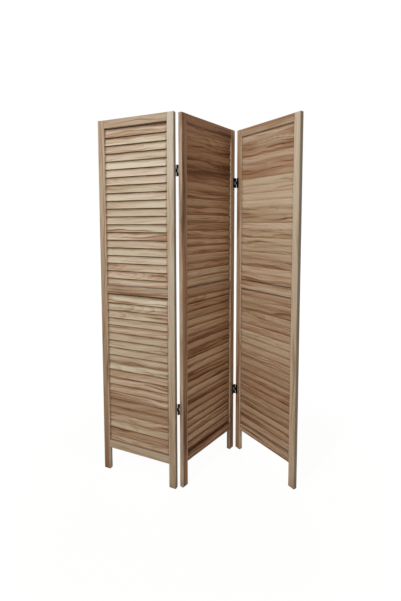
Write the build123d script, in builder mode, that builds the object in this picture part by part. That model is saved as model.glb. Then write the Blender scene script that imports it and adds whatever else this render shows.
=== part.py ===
from build123d import *
import os
from math import cos, radians, sin

# Three-panel louvred folding screen, standing in a zig-zag. Millimetres, +Z up, the front faces -Y.
# The origin lies on the floor, under the middle of the whole screen's plan.

# Wooden frame of one panel
panel_height = 1700.0
panel_width = 400.0
frame_thickness = 20.0
stile_width = 35.0
rail_height = 37.0
leg_height = 112.0
stile_edge_chamfer = 2.0
rail_edge_chamfer = 1.2

# Stub tenons of the rails, and the play in their mortises
tenon_length = 15.0
tenon_thickness = 8.0
tenon_height = 25.0
tenon_play = 0.15
mortise_end_play = 1.0

# Louvre slats, and the play in the slots that are routed for them
slat_width = 44.0
slat_thickness = 5.0
slat_tilt = 13.0
slat_edge_chamfer = 1.0
slat_air_gap = 3.0
bay_end_gap = 0.6
slot_depth = 9.0
slot_play = 0.2
slot_end_play = 0.5

# Steel butt hinges on the faces of the stiles
hinge_height = 50.0
leaf_reach = 15.0
leaf_thickness = 1.2
barrel_radius = 3.5
pin_beyond_edge = 3.5
pin_radius = 1.6
pin_play = 0.05
knuckle_gap = 0.4
left_fold_low_hinge = 369.0
left_fold_high_hinge = 1452.0
right_fold_low_hinge = 327.0
right_fold_high_hinge = 1433.0

# Countersunk wood screws, two in each hinge leaf. They are small, so they have flat sides.
screw_head_radius = 2.9
screw_shank_radius = 1.7
screw_length = 14.0
screw_sides = 8
screw_play = 0.05
screw_spacing = 30.0
screw_from_edge = 8.5

# Turn of each panel away from the screen's width, in degrees
left_turn = 22.0
middle_turn = 50.0
right_turn = 52.5

# Sizes that follow from the driving ones
opening_width = panel_width - 2 * stile_width
bay_height = (panel_height - leg_height - 3 * rail_height) / 2
bottom_rail_low = leg_height
middle_rail_low = bottom_rail_low + rail_height + bay_height
top_rail_low = middle_rail_low + rail_height + bay_height
slat_length = opening_width + 2 * (slot_depth - slot_end_play)
slat_rise = slat_width * cos(radians(slat_tilt)) + slat_thickness * sin(radians(slat_tilt))
least_slat_pitch = (slat_thickness + slat_air_gap) / sin(radians(slat_tilt))
knuckle_height = (hinge_height - 2 * knuckle_gap) / 3

# The leaves lie flat on the wood and run into the side of the barrel, so the pin is its radius off.
pin_across = panel_width / 2 + pin_beyond_edge
pin_off = frame_thickness / 2 + barrel_radius

LEFT, RIGHT = -1, 1
FRONT, BACK = -1, 1


class Panel:
    """One louvred panel and its own directions: along its width, backwards and up."""

    def __init__(self, name, turn, slat_lean):
        self.name = name
        self.along = Vector(1, 0, 0).rotate(Axis.Z, turn)
        self.back = Vector(0, 1, 0).rotate(Axis.Z, turn)
        self.slat_lean = slat_lean
        self.centre = Vector(0, 0, 0)

    def point(self, across, back, up=0.0):
        return self.centre + self.along * across + self.back * back + Vector(0, 0, up)

    def floor(self, across):
        """Plane on the floor: x along the panel, y backwards."""
        return Plane(self.point(across, 0), x_dir=self.along, z_dir=(0, 0, 1))

    def section(self, across):
        """Upright plane square to the panel's width: x backwards, y up."""
        return Plane(self.point(across, 0), x_dir=self.back, z_dir=self.along)


class Fold:
    """The upright axis where a side panel hinges on the middle one, its hinges and where they sit."""

    def __init__(self, name, wing, middle_side, face, heights):
        self.name = name
        self.wing = wing
        self.middle_side = middle_side
        self.face = face
        self.heights = heights
        self.axis = middle.point(middle_side * pin_across, face * pin_off)
        wing.centre = self.axis + wing.along * middle_side * pin_across - wing.back * face * pin_off

    def leaf_plane(self, panel, height):
        """Plane square to the pin: x from the wood to the pin, y away from the wood's face."""
        side = self.middle_side if panel is middle else -self.middle_side
        outward = panel.along * side
        off = panel.back * self.face
        return Plane(self.axis + Vector(0, 0, height), x_dir=outward, z_dir=outward.cross(off))


# The left panel's slats lean back as they rise. The other two are the same panel turned back to front.
left = Panel("left", -left_turn, slat_tilt)
middle = Panel("middle", middle_turn, -slat_tilt)
right = Panel("right", -right_turn, -slat_tilt)
panels = [left, middle, right]

left_fold = Fold("left_fold", left, LEFT, BACK, (left_fold_low_hinge, left_fold_high_hinge))
right_fold = Fold("right_fold", right, RIGHT, FRONT, (right_fold_low_hinge, right_fold_high_hinge))
folds = [left_fold, right_fold]

# The chamfered corners of the stiles are the outermost points of the plan, and its middle is the origin.
corners = [
    panel.point(side * (panel_width / 2 - cut_across), face * (frame_thickness / 2 - cut_back))
    for panel in panels
    for side in (LEFT, RIGHT)
    for face in (FRONT, BACK)
    for cut_across, cut_back in ((stile_edge_chamfer, 0), (0, stile_edge_chamfer))
]
plan_middle = Vector(
    (min(c.X for c in corners) + max(c.X for c in corners)) / 2,
    (min(c.Y for c in corners) + max(c.Y for c in corners)) / 2,
)
for placed in panels:
    placed.centre -= plan_middle
for placed in folds:
    placed.axis -= plan_middle


def write(piece, name):
    piece.part.label = name
    export_step(piece.part, f"parts/{name}.step")


def slat_heights(bay_low):
    """Heights of the slats' middles, evenly spread over the bay that starts at bay_low."""
    first = bay_low + bay_end_gap + slat_rise / 2
    last = bay_low + bay_height - bay_end_gap - slat_rise / 2
    spaces = max(int((last - first) / least_slat_pitch), 1)
    return [first + (last - first) * k / spaces for k in range(spaces + 1)]


lower_slat_heights = slat_heights(bottom_rail_low + rail_height)
upper_slat_heights = slat_heights(middle_rail_low + rail_height)
rail_lows = {"bottom": bottom_rail_low, "middle": middle_rail_low, "top": top_rail_low}


def screw_seats(fold, panel):
    """Planes on a fold's leaves on one panel, at the screws, with z out of the face."""
    seats = []
    for height in fold.heights:
        leaf = fold.leaf_plane(panel, height)
        for up in (-screw_spacing / 2, screw_spacing / 2):
            origin = leaf.from_local_coords(
                (-pin_beyond_edge - screw_from_edge, leaf_thickness - barrel_radius, up)
            )
            seats.append(Plane(origin, x_dir=leaf.x_dir, z_dir=leaf.y_dir))
    return seats


def drive_screw(seat, play, mode):
    """A countersunk head as deep as the leaf is thick, and a shank: a screw, or its hole with some play."""
    with BuildSketch(seat) as top:
        RegularPolygon(screw_head_radius + play, screw_sides)
    with BuildSketch(seat.offset(-leaf_thickness)) as neck:
        RegularPolygon(screw_shank_radius + play, screw_sides)
    loft([top.sketch, neck.sketch], ruled=True, mode=mode)
    extrude(neck.sketch, amount=leaf_thickness - screw_length - play, mode=mode)


def make_stile(panel, side):
    """A stile with its foot, its mortises, its routed slots and, under hinges, its screw holes."""
    inner_face = panel.section(side * opening_width / 2)
    with BuildPart() as stile:
        with BuildSketch(panel.floor(side * (panel_width - stile_width) / 2)) as outline:
            Rectangle(stile_width, frame_thickness)
            chamfer(outline.vertices(), stile_edge_chamfer)
        extrude(amount=panel_height)
        with BuildSketch(inner_face):
            with Locations(*[(0, low + rail_height / 2) for low in rail_lows.values()]):
                Rectangle(tenon_thickness + 2 * tenon_play, tenon_height + 2 * tenon_play)
        extrude(amount=side * (tenon_length + mortise_end_play), mode=Mode.SUBTRACT)
        with BuildSketch(inner_face):
            with Locations(*[(0, up) for up in lower_slat_heights + upper_slat_heights]):
                Rectangle(
                    slat_width + 2 * slot_play,
                    slat_thickness + 2 * slot_play,
                    rotation=90 - panel.slat_lean,
                )
        extrude(amount=side * slot_depth, mode=Mode.SUBTRACT)
        for fold in folds:
            wing_here = panel is fold.wing and side == -fold.middle_side
            if wing_here or (panel is middle and side == fold.middle_side):
                for seat in screw_seats(fold, panel):
                    drive_screw(seat, screw_play, Mode.SUBTRACT)
    write(stile, f"{panel.name}_panel_{'left' if side == LEFT else 'right'}_stile")


def make_rail(panel, level):
    """A rail between the stiles, its long edges broken, with a stub tenon at each end."""
    middle_up = rail_lows[level] + rail_height / 2
    with BuildPart() as rail:
        with BuildSketch(panel.section(-opening_width / 2)) as body:
            with Locations((0, middle_up)):
                Rectangle(frame_thickness, rail_height)
            chamfer(body.vertices(), rail_edge_chamfer)
        extrude(amount=opening_width)
        with BuildSketch(panel.section(-opening_width / 2 - tenon_length)):
            with Locations((0, middle_up)):
                Rectangle(tenon_thickness, tenon_height)
        extrude(amount=opening_width + 2 * tenon_length)
    write(rail, f"{panel.name}_panel_{level}_rail")


def make_slats(panel, bay, heights):
    """All the loose slats of one bay, each with its ends in a pair of slots."""
    with BuildPart() as slats:
        with BuildSketch(panel.section(-slat_length / 2)) as ends:
            with Locations(*[(0, up) for up in heights]):
                Rectangle(slat_width, slat_thickness, rotation=90 - panel.slat_lean)
            chamfer(ends.vertices(), slat_edge_chamfer)
        extrude(amount=slat_length)
    write(slats, f"{panel.name}_panel_{bay}_slats")


def make_leaves(fold, panel):
    """A fold's two leaves on one panel: outer knuckles on the middle panel, a central one on a wing."""
    plate_end = barrel_radius + knuckle_gap
    plate_width = pin_beyond_edge + leaf_reach - plate_end
    knuckle_step = knuckle_height + knuckle_gap
    knuckle_middles = (-knuckle_step, knuckle_step) if panel is middle else (0,)
    with BuildPart() as leaves:
        for height in fold.heights:
            plane = fold.leaf_plane(panel, height)
            with BuildSketch(plane.offset(-hinge_height / 2)):
                with Locations((-plate_end, -barrel_radius)):
                    Rectangle(plate_width, leaf_thickness, align=(Align.MAX, Align.MIN))
            extrude(amount=hinge_height)
            for up in knuckle_middles:
                with BuildSketch(plane.offset(up - knuckle_height / 2)):
                    Circle(barrel_radius)
                    with Locations((0, -barrel_radius)):
                        Rectangle(plate_end, leaf_thickness, align=(Align.MAX, Align.MIN))
                    Circle(pin_radius + pin_play, mode=Mode.SUBTRACT)
                extrude(amount=knuckle_height)
        for seat in screw_seats(fold, panel):
            drive_screw(seat, screw_play, Mode.SUBTRACT)
    write(leaves, f"{fold.name}_hinge_leaves_on_{panel.name}_panel")


def make_pins(fold):
    """A fold's two hinge pins, flush with the outer knuckles."""
    with BuildPart() as pins:
        for height in fold.heights:
            with BuildSketch(Plane(fold.axis + Vector(0, 0, height - hinge_height / 2))):
                Circle(pin_radius)
            extrude(amount=hinge_height)
    write(pins, f"{fold.name}_hinge_pins")


def make_screws(panel):
    """The hinge screws that are driven into one panel."""
    with BuildPart() as screws:
        for fold in folds:
            if panel in (middle, fold.wing):
                for seat in screw_seats(fold, panel):
                    drive_screw(seat, 0, Mode.ADD)
    write(screws, f"{panel.name}_panel_hinge_screws")


os.makedirs("parts", exist_ok=True)
for panel in panels:
    for side in (LEFT, RIGHT):
        make_stile(panel, side)
    for level in rail_lows:
        make_rail(panel, level)
    make_slats(panel, "lower", lower_slat_heights)
    make_slats(panel, "upper", upper_slat_heights)
    make_screws(panel)
for fold in folds:
    make_leaves(fold, middle)
    make_leaves(fold, fold.wing)
    make_pins(fold)
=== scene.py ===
import math

import bmesh
import bpy
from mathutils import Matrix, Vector


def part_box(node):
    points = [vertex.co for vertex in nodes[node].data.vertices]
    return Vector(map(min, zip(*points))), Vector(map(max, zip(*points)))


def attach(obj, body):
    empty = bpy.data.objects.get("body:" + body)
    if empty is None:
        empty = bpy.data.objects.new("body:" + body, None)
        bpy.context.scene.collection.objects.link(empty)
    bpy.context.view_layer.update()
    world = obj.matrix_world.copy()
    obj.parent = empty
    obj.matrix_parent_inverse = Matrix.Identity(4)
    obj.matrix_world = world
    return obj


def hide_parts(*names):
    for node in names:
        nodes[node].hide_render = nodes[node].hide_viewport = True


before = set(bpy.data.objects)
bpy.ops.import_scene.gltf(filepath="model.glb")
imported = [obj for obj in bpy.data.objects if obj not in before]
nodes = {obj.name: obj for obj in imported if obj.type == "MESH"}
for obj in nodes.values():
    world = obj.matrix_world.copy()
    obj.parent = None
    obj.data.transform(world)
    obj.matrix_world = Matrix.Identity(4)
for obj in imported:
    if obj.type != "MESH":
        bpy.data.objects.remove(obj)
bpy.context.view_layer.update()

# Lengths are in metres and angles in degrees, unless a name says otherwise.
# The photograph's frame in pixels, its lens, and where the lens looks from
PHOTO_WIDTH = 401
PHOTO_HEIGHT = 601
FOCAL_PIXELS = 349.0
LENS_AXIS_X = 205.5
LENS_AXIS_Y = 250.2
CAMERA_PLACE = Vector((0.0427, -1.6887, 1.2115))
CAMERA_PITCH = 4.03
SENSOR_HEIGHT = 36.0
FARTHEST_SEEN = 100.0

# Sizes of the panels, as in the solids
PANEL_HEIGHT = 1.7
SLATS_PER_BAY = 20
SLAT_WIDTH = 0.044
SLAT_THICKNESS = 0.005
SLAT_TILT = math.radians(13.0)
SLAT_RISE = SLAT_WIDTH * math.cos(SLAT_TILT) + SLAT_THICKNESS * math.sin(SLAT_TILT)
BAY_HALF_WIDTH = 0.165
STILE_HALF_WIDTH = 0.0175

# A plain-sawn board: how far the tree's heart lies from it, and how far that drifts
HEART_NEAR = 0.008
HEART_FAR = 0.06
HEART_DRIFT = 0.022
HEART_SLOPE = 0.09
HEART_ASIDE = 0.024
# The width of a growth ring, how much it wavers, and how thin its dark late wood is
RING_NARROW = 0.0042
RING_WIDE = 0.0085
RING_WAVER = 0.004
LATE_WOOD_POWER = 2.6
# How fine each mark in the wood is, per metre along, across and into the board
WAVES = (5.0, 7.0)
STREAKS = (3.2, 95.0, 80.0)
BANDS = (1.6, 30.0, 30.0)
FIBRES = (26.0, 620.0, 620.0)
# How far the waves bend the streaks and bands
WAVE_REACH = 0.012
# How much each mark darkens a board whose figure is 1, on the scale of tones from 0 pale to 1 dark
RING_STRENGTH = 0.22
STREAK_STRENGTH = 0.34
BAND_STRENGTH = 0.34
STREAK_PALER = 0.16
STREAK_DARKER = 0.12
GROUND_PALER = 0.09
FIBRE_STRENGTH = 0.035
# How strongly the plainest board and the liveliest one are marked
PLAIN_BOARD = 0.45
LIVELY_BOARD = 1.35

# Marks on a stile or a rail. Its long edges are pale in patches, partly rubbed wear and partly a painted
# highlight where the eased edges catch the light; painted shade darkens a stile's outer side, and its foot
# is darker near the floor. Each reach is where a mark starts, counted from an edge or the floor, and each
# full is where it is strongest.
FRAME_FIGURE = 0.85
PALE_EDGE_PATCHES = (60.0, 60.0, 7.0)
PALE_EDGE_REACH = 0.0065
PALE_EDGE_FULL = 0.0015
EDGE_SHADE_REACH = 0.0045
EDGE_SHADE_FULL = 0.0008
FOOT_REACH = 0.05
FOOT_DARKENING = 0.35
END_GRAIN_STAIN = 0.4
FRAME_BUMP = 0.00025

# One slat's tone is at most this much paler or darker than its bay's.
SLAT_PALER = 0.17
SLAT_DARKER = 0.15

# Marks on a slat: painted shade in the crevice, along the rails and on the underside, a painted shadow
# beside the stiles, and rubbed wear. A crevice is counted from the slat's middle line.
CREVICE_START = 0.0005
CREVICE_END = 0.0110
RAIL_REACH = 0.010
RAIL_FULL = 0.003
RAIL_SHADE = 0.85
STILE_REACH = 0.012
STILE_FULL = 0.002
STILE_SHADOW = 0.8
WORN_REACH = 0.003
WORN_FULL = 0.0008
WORN_STRENGTH = 0.35
UNDERSIDE_SHADE = 0.85
SLAT_BUMP = 0.0003

# The hinges' paint, and how fine its orange peel and its rubbed patches are, per metre
PAINT_BUMP = 0.00004
PAINT_PEEL = 900.0
PAINT_PATCHES = 120.0
PAINT_GLOSS = 0.14
WOOD_GLOSS = 0.25

# Countersunk screws in the hinge leaves
SCREW_HEAD_RADIUS = 0.0029
SCREW_SHANK_RADIUS = 0.0016
SCREW_HEAD_DEPTH = 0.0012
SCREW_LENGTH = 0.0135
SCREW_TIP_LENGTH = 0.003
SCREW_TIP_SHARE = 0.25
SCREW_SIDES = 24
HEAD_ROUNDING = 0.0003
HEAD_CHAMFER = 0.00008
HEAD_RIM = 0.0002
RECESS_WIDTH = 0.0007
RECESS_REACH = 0.0018
RECESS_DEPTH = 0.0008
RECESS_TAPER = 0.6
# Corners closer together than the first are one, and places along a screw closer than the second one end.
SAME_CORNER = 0.00001
SAME_END = 0.0002

# The floor glows white. Near the screen a share of the lit floor shows, with the screen's faint shadow.
FLOOR_SIZE = 60.0
FLOOR_GLOW = 1.06
NEAR_RADIUS = 0.7
FAR_RADIUS = 2.4
NEAR_WHITE = 0.9

# Name, place, width, power in watts and colour of each lamp
LAMPS = [
    ("key", (-2.2, -2.9, 3.3), 0.75, 116.0, (1.0, 0.98, 0.96)),
    ("fill", (3.4, -2.6, 2.4), 2.0, 52.0, (1.0, 0.97, 0.94)),
    ("back", (0.8, 3.6, 2.4), 2.4, 45.0, (1.0, 0.98, 0.96)),
]
LAMP_TARGET = Vector((0.0, 0.0, 0.95))
WORLD_STRENGTH = 0.17


def srgb(red, green, blue):
    """A colour written as 0 to 255, in the linear values that a node takes."""

    def linear(value):
        value /= 255.0
        return value / 12.92 if value <= 0.04045 else ((value + 0.055) / 1.055) ** 2.4

    return (linear(red), linear(green), linear(blue), 1.0)


def grey(value):
    return (value, value, value, 1.0)


# The timber's colours, from its pale sapwood to its ruddy heartwood
SAPWOOD = srgb(218, 204, 182)
CREAM = srgb(199, 179, 154)
TAN = srgb(176, 147, 117)
RUDDY = srgb(145, 107, 78)
HEARTWOOD = srgb(96, 62, 41)
TIMBER = [(0.0, SAPWOOD), (0.28, CREAM), (0.52, TAN), (0.78, RUDDY), (1.0, HEARTWOOD)]
# What darkens it: a brown that is real stain on end grain and also painted shade in the slats' crevices,
# a painted stile shadow beside them and painted shade on their undersides, and that darkens the stiles'
# feet; a painted shade along the rails; and a painted shade for the stiles' outer sides
STAIN_AND_SHADE = srgb(116, 80, 48)
SHADE = srgb(80, 49, 28)
EDGE_SHADE = srgb(78, 70, 54)
# Slight casts that tell one slat from the next
ROSE = (1.0, 0.945, 0.94, 1.0)
MOSS = (0.96, 0.985, 0.94, 1.0)

# Tints that paint each panel's light: the strongly lit left panel cooler and greyer, its stiles most,
# the shaded middle one warmer and redder.
SLAT_LIGHT_CAST = {
    "left": (0.94, 0.965, 1.0, 1.0),
    "middle": (1.0, 0.955, 0.92, 1.0),
    "right": (1.0, 0.972, 0.95, 1.0),
}
FRAME_LIGHT_CAST = {
    "left": (0.9, 0.95, 1.0, 1.0),
    "middle": (0.98, 0.96, 0.95, 1.0),
    "right": (0.98, 0.985, 1.0, 1.0),
}
# Along each bay, from its lowest slat at 0 to its highest at 1: place, and tone from 0 pale to 1 dark
SLAT_TONES = {
    "left_upper": [(0.0, 0.22), (0.35, 0.42), (0.5, 0.17), (0.8, 0.13), (1.0, 0.30)],
    "left_lower": [(0.0, 0.64), (0.3, 0.56), (0.6, 0.30), (0.8, 0.46), (1.0, 0.26)],
    "middle_upper": [(0.0, 0.50), (0.3, 0.56), (0.5, 0.72), (1.0, 0.80)],
    "middle_lower": [(0.0, 0.64), (0.5, 0.63), (0.75, 0.56), (1.0, 0.60)],
    "right_upper": [(0.0, 0.34), (0.35, 0.34), (0.6, 0.2), (0.8, 0.44), (1.0, 0.36)],
    "right_lower": [(0.0, 0.48), (0.45, 0.60), (0.6, 0.36), (0.75, 0.3), (1.0, 0.62)],
}
# Tone of each stile at the floor and at the top, and of the bottom, middle and top rails
FRAME_TONES = {
    "left_left_stile": (0.84, 0.44),
    "left_right_stile": (0.54, 0.20),
    "left_rails": (0.48, 0.48, 0.48),
    "middle_left_stile": (0.72, 0.86),
    "middle_right_stile": (0.68, 0.44),
    "middle_rails": (0.76, 0.70, 0.88),
    "right_left_stile": (0.76, 0.50),
    "right_right_stile": (0.50, 0.16),
    "right_rails": (0.56, 0.42, 0.60),
}
# How dark the painted shade on the outer side of a stile is, where that side faces away from the light
OUTER_EDGE_SHADE = {"left_left_stile": 0.6, "left_right_stile": 0.7, "right_right_stile": 0.75}


def middle_of(node):
    low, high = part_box(node)
    return (low + high) / 2


class Panel:
    """Where one panel stands, from its stiles, and how its wood looks.

    lean is 1 where the slats' lower edges stand forward and -1 where their upper edges do. figure is how
    strongly the slats are marked, crevice_shade how dark the painted shade in their crevices and the painted
    shadow beside the stiles are, and spread how much one slat differs from the next.
    """

    def __init__(self, name, lean, seed, figure, crevice_shade, spread):
        self.name = name
        self.lean = lean
        self.seed = seed
        self.figure = figure
        self.crevice_shade = crevice_shade
        self.spread = spread
        self.body = f"{name}_panel"
        start = middle_of(f"{name}_panel_left_stile")
        end = middle_of(f"{name}_panel_right_stile")
        along = (end - start).normalized()
        self.back = Vector((-along.y, along.x, 0.0))
        self.turn = math.atan2(along.y, along.x)
        self.centre = (start + end) / 2
        self.centre.z = 0.0
        self.half_width = (end - start).length / 2

    def node(self, piece):
        return f"{self.name}_panel_{piece}"


class Graph:
    """Short calls for the nodes of one material. Each returns a socket."""

    def __init__(self, name):
        self.material = bpy.data.materials.new(name)
        self.material.use_nodes = True
        self.tree = self.material.node_tree
        self.shader = self.tree.nodes["Principled BSDF"]
        self.shader.inputs["Specular IOR Level"].default_value = WOOD_GLOSS

    def put(self, socket, value):
        if isinstance(value, bpy.types.NodeSocket):
            self.tree.links.new(value, socket)
        elif value is not None:
            socket.default_value = value

    def math(self, operation, *values):
        node = self.tree.nodes.new("ShaderNodeMath")
        node.operation = operation
        for socket, value in zip(node.inputs, values):
            self.put(socket, value)
        return node.outputs[0]

    def add(self, a, b):
        return self.math("ADD", a, b)

    def times(self, a, b):
        return self.math("MULTIPLY", a, b)

    def size_of(self, value):
        return self.math("ABSOLUTE", value)

    def fit(self, value, low, high, to_low=0.0, to_high=1.0):
        """Maps low..high to to_low..to_high, held inside them."""
        node = self.tree.nodes.new("ShaderNodeMapRange")
        for socket, number in zip(node.inputs, (value, low, high, to_low, to_high)):
            self.put(socket, number)
        return node.outputs[0]

    def vector(self, x, y, z):
        node = self.tree.nodes.new("ShaderNodeCombineXYZ")
        for socket, value in zip(node.inputs, (x, y, z)):
            self.put(socket, value)
        return node.outputs[0]

    def parts(self, vector):
        node = self.tree.nodes.new("ShaderNodeSeparateXYZ")
        self.put(node.inputs[0], vector)
        return node.outputs[0], node.outputs[1], node.outputs[2]

    def noise(self, vector, detail, roughness=0.5, distortion=0.0):
        node = self.tree.nodes.new("ShaderNodeTexNoise")
        self.put(node.inputs["Vector"], vector)
        node.inputs["Scale"].default_value = 1.0
        node.inputs["Detail"].default_value = detail
        node.inputs["Roughness"].default_value = roughness
        node.inputs["Distortion"].default_value = distortion
        return node.outputs[0]

    def chance(self, vector):
        """Three random numbers from 0 to 1, the same wherever the vector is."""
        node = self.tree.nodes.new("ShaderNodeTexWhiteNoise")
        self.put(node.inputs["Vector"], vector)
        return self.parts(node.outputs["Color"])

    def facing_up(self):
        """1 on a face that looks up, 0 on an upright one and -1 on one that looks down."""
        geometry = self.tree.nodes.new("ShaderNodeNewGeometry")
        return self.parts(geometry.outputs["True Normal"])[2]

    def ramp(self, factor, stops):
        node = self.tree.nodes.new("ShaderNodeValToRGB")
        self.put(node.inputs[0], factor)
        elements = node.color_ramp.elements
        while len(elements) < len(stops):
            elements.new(0.5)
        for element, (place, colour) in zip(elements, stops):
            element.position = place
            element.color = colour
        return node.outputs[0]

    def mix(self, factor, a, b, blend="MIX"):
        node = self.tree.nodes.new("ShaderNodeMix")
        node.data_type = "RGBA"
        node.blend_type = blend
        self.put(node.inputs[0], factor)
        self.put(node.inputs[6], a)
        self.put(node.inputs[7], b)
        return node.outputs[2]

    def finish(self, colour, roughness, height, bump):
        """Wires colour, roughness and a bump from height, whose full swing is bump metres."""
        node = self.tree.nodes.new("ShaderNodeBump")
        node.inputs["Strength"].default_value = 1.0
        node.inputs["Distance"].default_value = bump
        self.put(node.inputs["Height"], height)
        self.put(self.shader.inputs["Normal"], node.outputs[0])
        self.put(self.shader.inputs["Base Color"], colour)
        self.put(self.shader.inputs["Roughness"], roughness)
        return self.material


def panel_place(graph, panel):
    """Place in a panel's own directions, in metres: along its width, backwards and up."""
    where = graph.tree.nodes.new("ShaderNodeTexCoord")
    mapping = graph.tree.nodes.new("ShaderNodeMapping")
    mapping.vector_type = "TEXTURE"
    mapping.inputs["Location"].default_value = panel.centre
    mapping.inputs["Rotation"].default_value = (0.0, 0.0, panel.turn)
    graph.put(mapping.inputs["Vector"], where.outputs["Object"])
    return graph.parts(mapping.outputs[0])


# Below, a factor on one of a board's three random numbers only keeps its noise apart from other boards'.
def growth_rings(graph, along, across, deep, seed):
    """How dark a board's late wood makes each point, 0 to 1."""
    one, two, three = seed
    # The distance from the heart of the tree drifts along the board, which makes the arched figure.
    drift_place = graph.vector(graph.times(along, 1.9), graph.times(one, 37.0), graph.times(two, 53.0))
    drift = graph.fit(graph.noise(drift_place, 1.0), 0.2, 0.8, -HEART_DRIFT, HEART_DRIFT)
    slope = graph.times(along, graph.fit(two, 0.0, 1.0, -HEART_SLOPE, HEART_SLOPE))
    heart = graph.fit(one, 0.0, 1.0, HEART_NEAR, HEART_FAR)
    depth = graph.add(graph.add(heart, drift), graph.add(slope, deep))
    aside = graph.add(across, graph.fit(three, 0.0, 1.0, -HEART_ASIDE, HEART_ASIDE))
    waver_place = graph.vector(graph.times(along, 9.0), graph.times(across, 60.0), graph.times(three, 71.0))
    waver = graph.times(graph.noise(waver_place, 2.0), RING_WAVER)
    radius = graph.math("SQRT", graph.add(graph.times(aside, aside), graph.times(depth, depth)))
    ring_width = graph.fit(three, 0.0, 1.0, RING_NARROW, RING_WIDE)
    phase = graph.math("DIVIDE", graph.add(radius, waver), ring_width)
    late = graph.math("POWER", graph.math("FRACT", phase), LATE_WOOD_POWER)
    year = graph.chance(graph.vector(graph.math("FLOOR", phase), graph.times(one, 91.0), 3.0))[0]
    return graph.times(late, graph.fit(year, 0.0, 1.0, 0.25, 1.0))


def sawn_board(graph, along, across, deep, seed, tone, figure):
    """Colour, roughness and height of a plain-sawn board.

    seed is three random numbers, tone runs from 0 pale to 1 dark, and figure is how strongly it is marked.
    """
    one, two, three = seed
    late = growth_rings(graph, along, across, deep, seed)
    # Long soft streaks, and fine fibres
    inward = graph.times(one, 17.0)
    wave_place = graph.vector(graph.times(along, WAVES[0]), graph.times(across, WAVES[1]), inward)
    wave = graph.fit(graph.noise(wave_place, 1.0), 0.2, 0.8, -WAVE_REACH, WAVE_REACH)
    bent = graph.add(across, wave)
    inward = graph.add(graph.times(deep, STREAKS[2]), graph.times(two, 29.0))
    streak_place = graph.vector(graph.times(along, STREAKS[0]), graph.times(bent, STREAKS[1]), inward)
    streak = graph.noise(streak_place, 2.6, 0.58, 0.2)
    dark = graph.fit(streak, 0.54, 0.68, 0.0, STREAK_STRENGTH * figure)
    inward = graph.add(graph.times(deep, FIBRES[2]), one)
    fibre_place = graph.vector(graph.times(along, FIBRES[0]), graph.times(across, FIBRES[1]), inward)
    fibre = graph.noise(fibre_place, 3.0, 0.65)
    # Broad darker bands of heartwood
    inward = graph.add(graph.times(deep, BANDS[2]), graph.times(three, 43.0))
    band_place = graph.vector(graph.times(along, BANDS[0]), graph.times(bent, BANDS[1]), inward)
    band = graph.fit(graph.noise(band_place, 2.0, 0.5, 0.3), 0.5, 0.66, 0.0, BAND_STRENGTH * figure)
    marked = graph.add(graph.times(late, RING_STRENGTH * figure), graph.add(dark, band))
    marked = graph.add(marked, graph.fit(streak, 0.25, 0.75, -STREAK_PALER * figure, STREAK_DARKER * figure))
    marked = graph.times(marked, graph.fit(two, 0.0, 1.0, PLAIN_BOARD, LIVELY_BOARD))
    value = graph.add(graph.add(tone, -GROUND_PALER * figure), marked)
    value = graph.add(value, graph.fit(fibre, 0.3, 0.7, -FIBRE_STRENGTH, FIBRE_STRENGTH))
    colour = graph.ramp(value, TIMBER)
    roughness = graph.fit(fibre, 0.3, 0.7, 0.5, 0.68)
    height = graph.add(graph.times(fibre, 0.6), graph.times(late, 0.4))
    return colour, roughness, height


def three_numbers(seed):
    """Three numbers from 0 to 1 that look random, and are the same for the same seed."""
    return tuple(math.modf(math.sin(seed * factor) * 437.5)[0] % 1.0 for factor in (12.9, 78.2, 37.7))


def frame_wood(panel, piece, upright, low_tone, high_tone, seed, edge_shade=0.0):
    """Wood of a stile or a rail. Its tone runs from low_tone at the floor to high_tone at the top.

    edge_shade is how dark the painted shade on the outer side of a stile is.
    """
    graph = Graph(f"wood_{panel.name}_{piece}")
    across, back, up = panel_place(graph, panel)
    along, aside = (up, across) if upright else (across, up)
    tone = graph.fit(up, 0.0, PANEL_HEIGHT, low_tone, high_tone)
    numbers = three_numbers(seed)
    colour, roughness, height = sawn_board(graph, along, aside, back, numbers, tone, FRAME_FIGURE)
    # The panel's painted light cast: cooler and greyer on the lit left panel, warmer on the shaded middle
    # one
    colour = graph.mix(1.0, colour, FRAME_LIGHT_CAST[panel.name], "MULTIPLY")
    if upright:
        # The long edges are pale in patches, partly rubbed wear and partly a painted highlight where the
        # eased edges catch the light. The foot is darker near the floor.
        off_middle = graph.size_of(graph.add(graph.size_of(across), -panel.half_width))
        scaled = [graph.times(part, factor) for part, factor in zip((across, back, up), PALE_EDGE_PATCHES)]
        patchy = graph.noise(graph.vector(*scaled), 3.0)
        edge_start = STILE_HALF_WIDTH - PALE_EDGE_REACH
        edge_end = STILE_HALF_WIDTH - PALE_EDGE_FULL
        edge = graph.fit(off_middle, edge_start, edge_end, 0.0, 1.0)
        rubbed = graph.times(edge, graph.fit(patchy, 0.3, 0.65, 0.1, 0.55))
        colour = graph.mix(rubbed, colour, SAPWOOD)
        # Painted shade on the outer side of the stile, which faces away from the light
        outer = panel.half_width + STILE_HALF_WIDTH
        outside = graph.fit(graph.size_of(across), outer - EDGE_SHADE_REACH, outer - EDGE_SHADE_FULL, 0.0, edge_shade)
        colour = graph.mix(outside, colour, EDGE_SHADE)
        # Darker towards the floor
        foot = graph.fit(up, 0.0, FOOT_REACH, FOOT_DARKENING, 0.0)
        colour = graph.mix(foot, colour, STAIN_AND_SHADE)
        # End grain drinks more finish and dries darker.
        end_grain = graph.fit(graph.size_of(graph.facing_up()), 0.8, 0.95, 0.0, END_GRAIN_STAIN)
        colour = graph.mix(end_grain, colour, STAIN_AND_SHADE)
    return graph.finish(colour, roughness, height, FRAME_BUMP)


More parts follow.
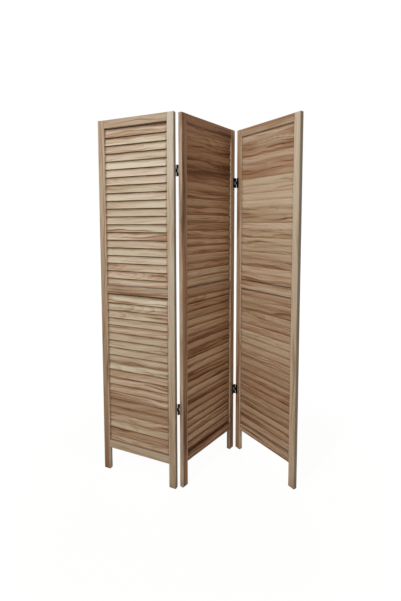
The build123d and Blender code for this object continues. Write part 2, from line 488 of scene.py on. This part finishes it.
def slat_wood(panel, bay):
    """Wood of one bay of slats: each slat is its own board with its own figure."""
    graph = Graph(f"wood_{panel.name}_{bay}_slats")
    across, back, up = panel_place(graph, panel)
    low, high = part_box(panel.node(f"{bay}_slats"))
    pitch = (high.z - low.z - SLAT_RISE) / (SLATS_PER_BAY - 1)
    first = low.z + SLAT_RISE / 2
    # A slat's plane leans, so its number comes from where that plane meets the middle of the panel.
    lean = panel.lean
    level = graph.add(up, graph.times(back, -lean / math.tan(SLAT_TILT)))
    number = graph.math("ROUND", graph.times(graph.add(level, -first), 1.0 / pitch))
    rise = graph.add(up, graph.math("MULTIPLY_ADD", number, -pitch, -first))
    # Place in the slat's own directions: up its face from its middle line, and into its thickness
    cosine, sine = math.cos(SLAT_TILT), lean * math.sin(SLAT_TILT)
    aside = graph.add(graph.times(rise, cosine), graph.times(back, sine))
    deep = graph.add(graph.times(back, cosine), graph.times(rise, -sine))
    seed = graph.chance(graph.vector(number, panel.seed, 1.0 if bay == "upper" else 2.0))
    luck = graph.chance(graph.vector(number, panel.seed + 5.0, 3.0 if bay == "upper" else 4.0))[1]
    tones = [(place, grey(tone)) for place, tone in SLAT_TONES[f"{panel.name}_{bay}"]]
    tone = graph.ramp(graph.times(number, 1.0 / (SLATS_PER_BAY - 1)), tones)
    tone = graph.add(tone, graph.fit(luck, 0.0, 1.0, -SLAT_PALER * panel.spread, SLAT_DARKER * panel.spread))
    colour, roughness, height = sawn_board(graph, across, aside, deep, seed, tone, panel.figure)
    # The panel's painted light cast: cooler and greyer on the lit left panel, warmer on the shaded middle
    # one
    colour = graph.mix(1.0, colour, SLAT_LIGHT_CAST[panel.name], "MULTIPLY")
    # One slat leans to pink, the next to green.
    hue = graph.mix(graph.times(graph.math("FRACT", graph.times(luck, 7.3)), panel.spread), ROSE, MOSS)
    colour = graph.mix(1.0, colour, hue, "MULTIPLY")
    # Painted shade darkens each crevice where the next slat overlaps this one, and a painted shadow of the
    # stile lies beside it. Painted shade also lies along the rails.
    shade_patchiness_place = graph.vector(graph.times(across, 9.0), graph.times(number, 2.3), panel.seed)
    shade_patchiness = graph.fit(graph.noise(shade_patchiness_place, 2.0), 0.3, 0.7, 0.55, 1.15)
    crevice = graph.fit(graph.times(aside, lean), CREVICE_START, CREVICE_END, 0.0, panel.crevice_shade)
    crevice = graph.times(crevice, shade_patchiness)
    half_height = (high.z - low.z) / 2
    height_off = graph.size_of(graph.add(up, -(low.z + high.z) / 2))
    at_rail = graph.fit(height_off, half_height - RAIL_REACH, half_height - RAIL_FULL, 0.0, RAIL_SHADE)
    stile_start = BAY_HALF_WIDTH - STILE_REACH
    stile_end = BAY_HALF_WIDTH - STILE_FULL
    at_stile = graph.fit(graph.size_of(across), stile_start, stile_end, 0.0, STILE_SHADOW * panel.crevice_shade)
    colour = graph.mix(graph.math("MAXIMUM", crevice, at_stile), colour, STAIN_AND_SHADE)
    colour = graph.mix(at_rail, colour, SHADE)
    # The edge that stands forward is rubbed pale in places.
    patchy = graph.noise(graph.vector(graph.times(across, 14.0), graph.times(number, 3.7), 1.0), 3.0)
    half_slat = SLAT_WIDTH / 2
    worn = graph.fit(graph.times(aside, -lean), half_slat - WORN_REACH, half_slat - WORN_FULL, 0.0, 1.0)
    worn = graph.times(worn, graph.fit(patchy, 0.35, 0.65, 0.0, WORN_STRENGTH * panel.crevice_shade))
    colour = graph.mix(worn, colour, SAPWOOD)
    # Its downward faces are painted brown as painted shade.
    underside = graph.fit(graph.facing_up(), -0.5, -0.9, 0.0, UNDERSIDE_SHADE)
    colour = graph.mix(underside, colour, STAIN_AND_SHADE)
    return graph.finish(colour, roughness, height, SLAT_BUMP)


def black_steel(name, worn):
    """Black painted steel with a fine orange peel, and paint rubbed thinner here and there."""
    graph = Graph(name)
    where = graph.parts(graph.tree.nodes.new("ShaderNodeTexCoord").outputs["Object"])
    peel = graph.noise(graph.vector(*(graph.times(part, PAINT_PEEL) for part in where)), 2.0)
    patch = graph.noise(graph.vector(*(graph.times(part, PAINT_PATCHES) for part in where)), 4.0)
    rubbed = graph.fit(patch, 0.58, 0.75, 0.0, worn)
    colour = graph.mix(rubbed, srgb(9, 8, 8), srgb(28, 25, 23))
    roughness = graph.fit(patch, 0.3, 0.7, 0.5, 0.66)
    graph.shader.inputs["Specular IOR Level"].default_value = PAINT_GLOSS
    return graph.finish(colour, roughness, peel, PAINT_BUMP)


def dress(node, material):
    mesh = nodes[node].data
    mesh.materials.clear()
    mesh.materials.append(material)


def dress_panel(panel):
    for bay in ("upper", "lower"):
        dress(panel.node(f"{bay}_slats"), slat_wood(panel, bay))
    for count, side in enumerate(("left_stile", "right_stile")):
        key = f"{panel.name}_{side}"
        low_tone, high_tone = FRAME_TONES[key]
        seed = panel.seed + 1.0 + count
        edge_shade = OUTER_EDGE_SHADE.get(key, 0.0)
        dress(panel.node(side), frame_wood(panel, side, True, low_tone, high_tone, seed, edge_shade))
    for count, level in enumerate(("bottom_rail", "middle_rail", "top_rail")):
        tone = FRAME_TONES[f"{panel.name}_rails"][count]
        seed = panel.seed + 3.0 + count
        dress(panel.node(level), frame_wood(panel, level, False, tone, tone, seed))


def solids_of(node):
    """The corners of each separate solid in a node."""
    mesh = bmesh.new()
    mesh.from_mesh(nodes[node].data)
    bmesh.ops.remove_doubles(mesh, verts=mesh.verts, dist=SAME_CORNER)
    mesh.verts.index_update()
    seen = set()
    for start in mesh.verts:
        if start.index in seen:
            continue
        group, queue = [], [start]
        seen.add(start.index)
        while queue:
            corner = queue.pop()
            group.append(corner.co.copy())
            for edge in corner.link_edges:
                other = edge.other_vert(corner)
                if other.index not in seen:
                    seen.add(other.index)
                    queue.append(other)
        yield group
    mesh.free()


def add_screw(mesh, face, inward):
    """A countersunk screw with a cross recess, its head's middle at face and its axis along inward."""
    side = Vector((0.0, 0.0, 1.0))
    across = inward.cross(side)
    # Radius and depth of each ring, from the head's rim to the point
    profile = [
        (SCREW_HEAD_RADIUS - HEAD_ROUNDING, 0.0),
        (SCREW_HEAD_RADIUS - HEAD_CHAMFER, HEAD_CHAMFER),
        (SCREW_HEAD_RADIUS - HEAD_CHAMFER, HEAD_RIM),
        (SCREW_SHANK_RADIUS, SCREW_HEAD_DEPTH + HEAD_RIM),
        (SCREW_SHANK_RADIUS, SCREW_LENGTH - SCREW_TIP_LENGTH),
        (SCREW_SHANK_RADIUS * SCREW_TIP_SHARE, SCREW_LENGTH),
    ]
    rings = []
    for radius, depth in profile:
        ring = []
        for step in range(SCREW_SIDES):
            angle = 2 * math.pi * step / SCREW_SIDES
            spoke = side * math.cos(angle) + across * math.sin(angle)
            ring.append(mesh.verts.new(face + spoke * radius + inward * depth))
        rings.append(ring)

    def wall(outer, inner):
        """Faces between two loops of corners of the same number."""
        for step in range(len(outer)):
            after = (step + 1) % len(outer)
            mesh.faces.new((outer[step], outer[after], inner[after], inner[step]))

    def edges_of(loop):
        return [mesh.edges.get((loop[step], loop[(step + 1) % len(loop)])) for step in range(len(loop))]

    for outer, inner in zip(rings, rings[1:]):
        wall(outer, inner)
    mesh.faces.new(rings[-1])
    # The head's flat, cut by a cross
    arm = RECESS_WIDTH / 2
    cross = [
        (arm, RECESS_REACH), (arm, arm), (RECESS_REACH, arm),
        (RECESS_REACH, -arm), (arm, -arm), (arm, -RECESS_REACH),
        (-arm, -RECESS_REACH), (-arm, -arm), (-RECESS_REACH, -arm),
        (-RECESS_REACH, arm), (-arm, arm), (-arm, RECESS_REACH),
    ]
    lip = [mesh.verts.new(face + side * y + across * x) for x, y in cross]
    floor = []
    for x, y in cross:
        spoke = (side * y + across * x) * RECESS_TAPER
        floor.append(mesh.verts.new(face + spoke + inward * RECESS_DEPTH))
    wall(lip, floor)
    mesh.faces.new(floor)
    bmesh.ops.triangle_fill(mesh, edges=edges_of(rings[0]) + edges_of(lip), use_beauty=True)


def reach_at(corners, axis, end):
    """How far the corners at one end of a solid stand from its axis."""
    middle = sum(corners, Vector()) / len(corners)
    near = [corner for corner in corners if abs(corner.dot(axis) - end) < SAME_END]
    return max(((corner - middle).cross(axis)).length for corner in near)


def add_screws(panel):
    node = panel.node("hinge_screws")
    mesh = bmesh.new()
    for corners in solids_of(node):
        places = [corner.dot(panel.back) for corner in corners]
        middle = sum(corners, Vector()) / len(corners)
        # The head is the end with the wider ring.
        front = reach_at(corners, panel.back, min(places)) > reach_at(corners, panel.back, max(places))
        inward = panel.back if front else -panel.back
        face = middle + panel.back * ((min(places) if front else max(places)) - middle.dot(panel.back))
        add_screw(mesh, face, inward)
    bmesh.ops.recalc_face_normals(mesh, faces=mesh.faces)
    data = bpy.data.meshes.new(f"{panel.name}_screws")
    mesh.to_mesh(data)
    mesh.free()
    piece = bpy.data.objects.new(f"{panel.name}_countersunk_screws", data)
    bpy.context.scene.collection.objects.link(piece)
    data.materials.append(screw_black)
    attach(piece, panel.body)
    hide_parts(node)


def seen_directly(tree):
    """1 where the camera sees a surface itself, in a reflection or through glass, else 0."""
    path = tree.nodes.new("ShaderNodeLightPath")
    seen = path.outputs["Is Camera Ray"]
    for kind in ("Is Glossy Ray", "Is Transmission Ray"):
        either = tree.nodes.new("ShaderNodeMath")
        either.operation = "MAXIMUM"
        tree.links.new(seen, either.inputs[0])
        tree.links.new(path.outputs[kind], either.inputs[1])
        seen = either.outputs[0]
    return seen


def add_floor():
    bpy.ops.mesh.primitive_plane_add(size=FLOOR_SIZE, location=(0.0, 0.0, 0.0))
    floor = bpy.context.object
    floor.name = "floor"
    graph = Graph("floor_white")
    tree = graph.tree
    graph.shader.inputs["Base Color"].default_value = srgb(205, 200, 194)
    graph.shader.inputs["Roughness"].default_value = 0.9
    glow = tree.nodes.new("ShaderNodeEmission")
    glow.inputs["Color"].default_value = (1.0, 1.0, 1.0, 1.0)
    glow.inputs["Strength"].default_value = FLOOR_GLOW
    blend = tree.nodes.new("ShaderNodeMixShader")
    x, y, _ = graph.parts(tree.nodes.new("ShaderNodeTexCoord").outputs["Object"])
    radius = graph.math("SQRT", graph.add(graph.times(x, x), graph.times(y, y)))
    white = graph.fit(radius, NEAR_RADIUS, FAR_RADIUS, NEAR_WHITE, 1.0)
    graph.put(blend.inputs[0], graph.times(seen_directly(tree), white))
    graph.put(blend.inputs[1], graph.shader.outputs[0])
    graph.put(blend.inputs[2], glow.outputs[0])
    graph.put(tree.nodes["Material Output"].inputs["Surface"], blend.outputs[0])
    floor.data.materials.append(graph.material)


def add_lamp(name, place, size, power, colour):
    lamp = bpy.data.lights.new(name, "AREA")
    lamp.shape = "DISK"
    lamp.size = size
    lamp.energy = power
    lamp.color = colour
    holder = bpy.data.objects.new(name, lamp)
    bpy.context.scene.collection.objects.link(holder)
    holder.location = place
    holder.rotation_euler = (LAMP_TARGET - Vector(place)).to_track_quat("-Z", "Y").to_euler()


def add_world():
    world = bpy.data.worlds.new("studio")
    bpy.context.scene.world = world
    world.use_nodes = True
    tree = world.node_tree
    tree.nodes.clear()
    output = tree.nodes.new("ShaderNodeOutputWorld")
    soft = tree.nodes.new("ShaderNodeBackground")
    soft.inputs["Color"].default_value = (1.0, 0.985, 0.96, 1.0)
    soft.inputs["Strength"].default_value = WORLD_STRENGTH
    white = tree.nodes.new("ShaderNodeBackground")
    white.inputs["Color"].default_value = (1.0, 1.0, 1.0, 1.0)
    white.inputs["Strength"].default_value = 1.0
    blend = tree.nodes.new("ShaderNodeMixShader")
    tree.links.new(seen_directly(tree), blend.inputs[0])
    tree.links.new(soft.outputs[0], blend.inputs[1])
    tree.links.new(white.outputs[0], blend.inputs[2])
    tree.links.new(blend.outputs[0], output.inputs["Surface"])


def add_camera():
    data = bpy.data.cameras.new("camera")
    camera = bpy.data.objects.new("camera", data)
    bpy.context.scene.collection.objects.link(camera)
    data.sensor_fit = "VERTICAL"
    data.sensor_height = SENSOR_HEIGHT
    data.lens = FOCAL_PIXELS / PHOTO_HEIGHT * SENSOR_HEIGHT
    data.shift_x = (PHOTO_WIDTH / 2 - LENS_AXIS_X) / PHOTO_HEIGHT
    data.shift_y = (LENS_AXIS_Y - PHOTO_HEIGHT / 2) / PHOTO_HEIGHT
    data.clip_end = FARTHEST_SEEN
    camera.location = CAMERA_PLACE
    camera.rotation_euler = (math.radians(90.0 - CAMERA_PITCH), 0.0, 0.0)
    bpy.context.scene.camera = camera


# crevice_shade sets each panel's painted shade in the crevices and its painted shadow beside the stiles.
panels = [
    Panel("left", lean=1.0, seed=11.0, figure=1.05, crevice_shade=0.85, spread=1.0),
    Panel("middle", lean=-1.0, seed=23.0, figure=0.78, crevice_shade=0.5, spread=0.7),
    Panel("right", lean=-1.0, seed=37.0, figure=0.85, crevice_shade=0.4, spread=0.85),
]
for panel in panels:
    dress_panel(panel)

hinge_black = black_steel("hinge_black", 0.5)
screw_black = black_steel("screw_black", 0.8)
for node in nodes:
    if "hinge_leaves" in node or "hinge_pins" in node:
        dress(node, hinge_black)
    if "hinge_screws" in node:
        dress(node, screw_black)
for panel in panels:
    add_screws(panel)

add_floor()
add_world()
for lamp in LAMPS:
    add_lamp(*lamp)
add_camera()

bpy.context.scene.view_settings.view_transform = "Standard"
